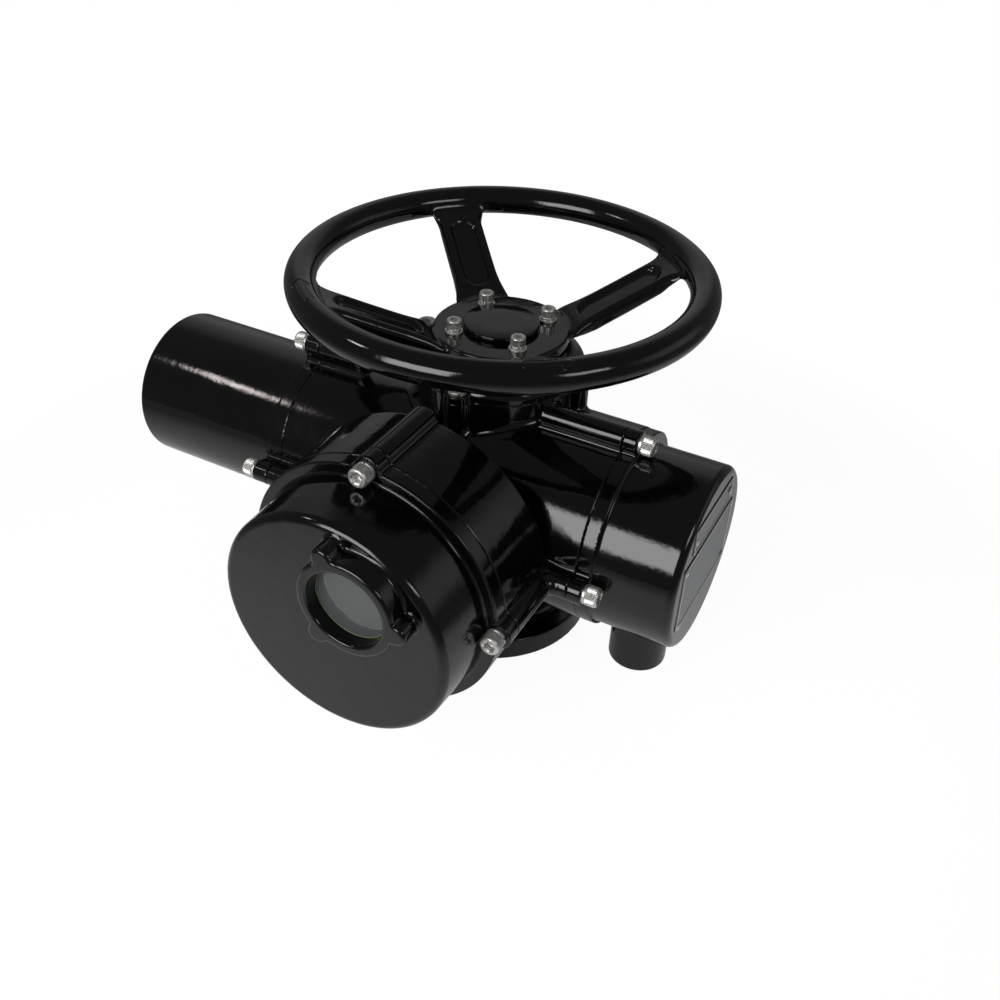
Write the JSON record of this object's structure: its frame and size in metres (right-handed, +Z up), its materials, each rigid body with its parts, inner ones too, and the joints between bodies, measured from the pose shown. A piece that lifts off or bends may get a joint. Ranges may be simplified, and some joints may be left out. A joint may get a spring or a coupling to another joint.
{
  "type": "electric valve actuator",
  "caption": "Electric multi-turn valve actuator: cast housing with motor barrel, terminal box, control unit with window, and a top handwheel over the drive sleeve.",
  "frame": {"origin": "centre of the mounting face at the foot of the actuator", "axes": "+Z up along the drive and handwheel axis, +X towards the terminal box with the motor on -X, -Y towards the control unit's window"},
  "size_m": [0.4267, 0.355, 0.2782],
  "materials": {
    "black_paint": "gloss",
    "steel": "satin",
    "stainless": "satin",
    "bronze": "satin",
    "brass": "satin",
    "rubber": "matte",
    "glass": "gloss",
    "copper": "satin",
    "board_green": "satin",
    "phenolic": "satin",
    "display_grey": "satin",
    "spring_steel": "satin",
    "plate_metal": "satin"
  },
  "bodies": {
    "housing": {"gearcase": "black_paint", "top_cover": "black_paint", "control_cover": "black_paint", "motor_cover": "black_paint", "terminal_cover": "black_paint", "top_cover_oring": "rubber", "control_cover_oring": "rubber", "motor_cover_oring": "rubber", "terminal_cover_oring": "rubber", "top_seal": "rubber", "base_seal": "rubber", "top_bearing": "steel", "base_bearing": "steel", "motor_bearings": "steel", "worm_bearings": "steel", "window_glass": "glass", "glass_retainer": "plate_metal", "retainer_screws": "stainless", "display_module": "display_grey", "display_pillars": "brass", "control_board": "board_green", "board_pillars": "brass", "board_screws": "stainless", "transformer": "steel", "motor_end_shield": "plate_metal", "stator_core": "steel", "stator_windings": "copper", "terminal_board": "phenolic", "terminal_board_screws": "stainless", "terminal_studs": "brass", "rating_plate_large": "plate_metal", "rating_plate_small": "plate_metal", "plate_rivets": "stainless", "top_cover_screws": "stainless", "control_cover_screws": "stainless", "motor_cover_screws": "stainless", "terminal_cover_screws": "stainless", "cover_washers": "stainless"},
    "hand_drive": {"handwheel": "black_paint", "hub_cap": "black_paint", "hub_screws": "stainless", "hub_washers": "stainless", "hand_shaft": "steel"},
    "output_sleeve": {"drive_sleeve": "steel", "drive_bush": "bronze", "wheel_circlip": "spring_steel"},
    "clutch": {"clutch_ring": "steel"},
    "wheel": {"worm_wheel": "bronze"},
    "worm": {"worm_shaft": "steel", "reduction_gear": "bronze"},
    "rotor": {"motor_shaft": "steel", "rotor_core": "steel", "motor_pinion": "steel"}
  },
  "joints": [
    {"name": "handwheel_turn", "type": "hinge", "parent": "housing", "child": "hand_drive", "pos_m": [0, 0, 0.22], "axis": [0, 0, 1], "continuous": true},
    {"name": "drive_sleeve_turn", "type": "hinge", "parent": "housing", "child": "output_sleeve", "pos_m": [0, 0, 0.1], "axis": [0, 0, 1], "continuous": true},
    {"name": "clutch_slide", "type": "slide", "parent": "output_sleeve", "child": "clutch", "axis": [0, 0, 1], "range_m": [-0.0055, 0]},
    {"name": "motor_turn", "type": "hinge", "parent": "housing", "child": "rotor", "pos_m": [-0.18, -0.0293, 0.126], "axis": [1, 0, 0], "continuous": true},
    {"name": "worm_shaft_turn", "type": "hinge", "parent": "housing", "child": "worm", "pos_m": [0, -0.0578, 0.126], "axis": [1, 0, 0], "continuous": true},
    {"name": "worm_wheel_turn", "type": "hinge", "parent": "housing", "child": "wheel", "pos_m": [0, 0, 0.126], "axis": [0, 0, 1], "continuous": true}
  ],
  "couplings": [
    {"joint": "drive_sleeve_turn", "follows": "handwheel_turn", "ratio": 1},
    {"joint": "worm_shaft_turn", "follows": "motor_turn", "ratio": -0.58333},
    {"joint": "worm_wheel_turn", "follows": "motor_turn", "ratio": 0.019444}
  ]
}
